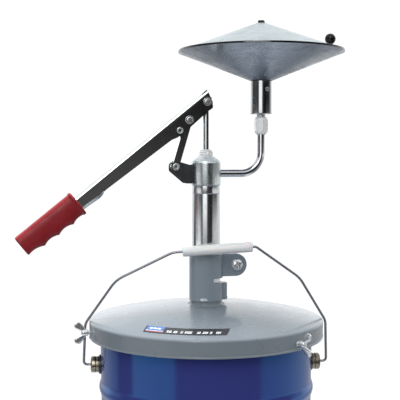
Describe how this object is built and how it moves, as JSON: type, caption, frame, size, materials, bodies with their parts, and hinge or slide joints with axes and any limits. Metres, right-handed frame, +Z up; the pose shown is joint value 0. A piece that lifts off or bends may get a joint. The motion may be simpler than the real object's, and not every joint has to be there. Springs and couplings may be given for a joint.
{
  "type": "grease filler pump",
  "caption": "Hand lever grease filler pump clamped in the lid of a bail-handled steel pail, with a double-cone bearing packer on its bent outlet pipe.",
  "frame": {"origin": "centre of the pail's flat base, where it stands on the floor", "axes": "+Z up along the pump's tube; +X towards the outlet pipe and packer; the lever's handle lies towards -X"},
  "size_m": [0.4425, 0.3154, 0.757],
  "materials": {
    "pail_paint": "gloss enamel",
    "black_paint": "satin",
    "cap_steel": "satin yellow-zinc",
    "wire_steel": "drawn wire",
    "grip_white": "translucent white polyethylene",
    "lid_paint": "smooth gloss grey enamel",
    "black_rubber": "matt",
    "zinc_steel": "bright zinc plate",
    "label_film": "printed film, plain",
    "sleeve_paint": "satin grey enamel",
    "bright_steel": "polished",
    "dark_steel": "dark oxide",
    "brass": "machined",
    "dark_chrome": "ground and polished",
    "cone_steel": "spun, fine circular grain",
    "hat_steel": "spun, satin",
    "knob_plastic": "moulded, polished",
    "lever_steel": "bright plate over pressed steel",
    "grip_red": "soft moulded PVC"
  },
  "bodies": {
    "pail": {"pail_shell": "pail_paint", "pail_base": "pail_paint", "ear_flanges": "black_paint", "ear_caps": "cap_steel", "lid_cover": "lid_paint", "lid_gasket": "black_rubber", "lid_weld_nuts": "zinc_steel", "lid_label": "label_film", "clamp_sleeve": "sleeve_paint", "clamp_screw": "bright_steel", "clamp_nut": "zinc_steel", "sleeve_welds": "sleeve_paint"},
    "bail": {"bail_wire": "wire_steel"},
    "bail_grip": {"bail_grip": "grip_white"},
    "mast": {"outer_tube": "bright_steel", "tube_collar": "bright_steel", "pump_head": "bright_steel", "rod_seal": "black_rubber", "gland_nut": "zinc_steel", "lever_bracket": "dark_steel", "bracket_rivet": "zinc_steel", "outlet_pipe": "bright_steel", "pipe_ferrule": "zinc_steel", "pipe_nut": "zinc_steel", "outlet_nipple": "bright_steel", "packer_socket": "dark_chrome", "socket_grub_screw": "zinc_steel", "lower_cone": "cone_steel", "packer_spindle": "bright_steel", "foot_valve_body": "brass", "ball_pin": "zinc_steel"},
    "rod": {"pump_rod": "bright_steel", "rod_end": "dark_steel", "piston": "brass", "piston_seal": "black_rubber", "piston_nut": "zinc_steel", "valve_stop": "zinc_steel"},
    "valve_disc": {"valve_disc": "brass"},
    "foot_ball": {"foot_ball": "zinc_steel"},
    "link": {"link": "lever_steel", "link_pin": "zinc_steel"},
    "lever": {"lever_channel": "lever_steel", "rod_pin": "zinc_steel", "stop_rivet": "zinc_steel", "hand_grip": "grip_red"},
    "thrust_washer": {"thrust_washer": "zinc_steel"},
    "packer_cone": {"upper_cone": "hat_steel", "cone_hub": "bright_steel", "knob_stem": "dark_steel", "knob": "knob_plastic"},
    "follower": {"follower_plate": "zinc_steel", "follower_lip": "black_rubber"},
    "tip_pad_1": {"tip_pad_1": "brass"},
    "wing_screw_1": {"wing_screw_1": "zinc_steel"},
    "tip_pad_2": {"tip_pad_2": "brass"},
    "wing_screw_2": {"wing_screw_2": "zinc_steel"},
    "tip_pad_3": {"tip_pad_3": "brass"},
    "wing_screw_3": {"wing_screw_3": "zinc_steel"}
  },
  "joints": [
    {"name": "bail_swing", "type": "hinge", "parent": "pail", "child": "bail", "pos_m": [0, 0, 0.295], "axis": [0.9848, -0.1736, 0], "range_deg": [0, 12]},
    {"name": "bail_grip_turn", "type": "hinge", "parent": "bail", "child": "bail_grip", "pos_m": [0.00766, -0.03144, 0.45181], "axis": [0.9806, -0.1853, 0.0645], "continuous": true},
    {"name": "mast_height", "type": "slide", "parent": "pail", "child": "mast", "axis": [0, 0, 1], "range_m": [0, 0.06]},
    {"name": "lever_swing", "type": "hinge", "parent": "link", "child": "lever", "pos_m": [-0.0246, 0, 0.622], "axis": [0, 1, 0], "range_deg": [0, 88.06]},
    {"name": "link_swing", "type": "hinge", "parent": "mast", "child": "link", "pos_m": [-0.043, 0, 0.56], "axis": [0, 1, 0], "range_deg": [-1.07, 0]},
    {"name": "rod_slide", "type": "slide", "parent": "mast", "child": "rod", "axis": [0, 0, 1], "range_m": [-0.04746, 0]},
    {"name": "piston_valve_lift", "type": "slide", "parent": "rod", "child": "valve_disc", "axis": [0, 0, 1], "range_m": [0, 0.0035]},
    {"name": "foot_valve_lift", "type": "slide", "parent": "mast", "child": "foot_ball", "axis": [0, 0, 1], "range_m": [0, 0.004]},
    {"name": "packer_cone_turn", "type": "hinge", "parent": "thrust_washer", "child": "packer_cone", "pos_m": [0.077, 0, 0.7], "axis": [0, 0, 1], "range_deg": [0, 4320]},
    {"name": "packer_cone_lift", "type": "slide", "parent": "mast", "child": "thrust_washer", "axis": [0, 0, 1], "range_m": [0, 0.021]},
    {"name": "follower_slide", "type": "slide", "parent": "pail", "child": "follower", "axis": [0, 0, 1], "range_m": [-0.22, 0]},
    {"name": "pad_slide_1", "type": "slide", "parent": "pail", "child": "tip_pad_1", "axis": [-1, 0, 0], "range_m": [0, 0.005]},
    {"name": "wing_screw_turn_1", "type": "hinge", "parent": "tip_pad_1", "child": "wing_screw_1", "pos_m": [-0.15, 0, 0.3434], "axis": [-1, 0, 0], "range_deg": [0, 1440]},
    {"name": "pad_slide_2", "type": "slide", "parent": "pail", "child": "tip_pad_2", "axis": [0.5299, -0.848, 0], "range_m": [0, 0.005]},
    {"name": "wing_screw_turn_2", "type": "hinge", "parent": "tip_pad_2", "child": "wing_screw_2", "pos_m": [0.07949, -0.12721, 0.3434], "axis": [0.5299, -0.848, 0], "range_deg": [0, 1440]},
    {"name": "pad_slide_3", "type": "slide", "parent": "pail", "child": "tip_pad_3", "axis": [0.4848, 0.8746, 0], "range_m": [0, 0.005]},
    {"name": "wing_screw_turn_3", "type": "hinge", "parent": "tip_pad_3", "child": "wing_screw_3", "pos_m": [0.07272, 0.13119, 0.3434], "axis": [0.4848, 0.8746, 0], "range_deg": [0, 1440]}
  ],
  "couplings": [
    {"joint": "link_swing", "follows": "lever_swing", "ratio": -0.012076},
    {"joint": "rod_slide", "follows": "lever_swing", "m_per_rad": -0.030874},
    {"joint": "packer_cone_lift", "follows": "packer_cone_turn", "m_per_rad": 0.00027852},
    {"joint": "pad_slide_1", "follows": "wing_screw_turn_1", "m_per_rad": 0.00019894},
    {"joint": "pad_slide_2", "follows": "wing_screw_turn_2", "m_per_rad": 0.00019894},
    {"joint": "pad_slide_3", "follows": "wing_screw_turn_3", "m_per_rad": 0.00019894}
  ]
}
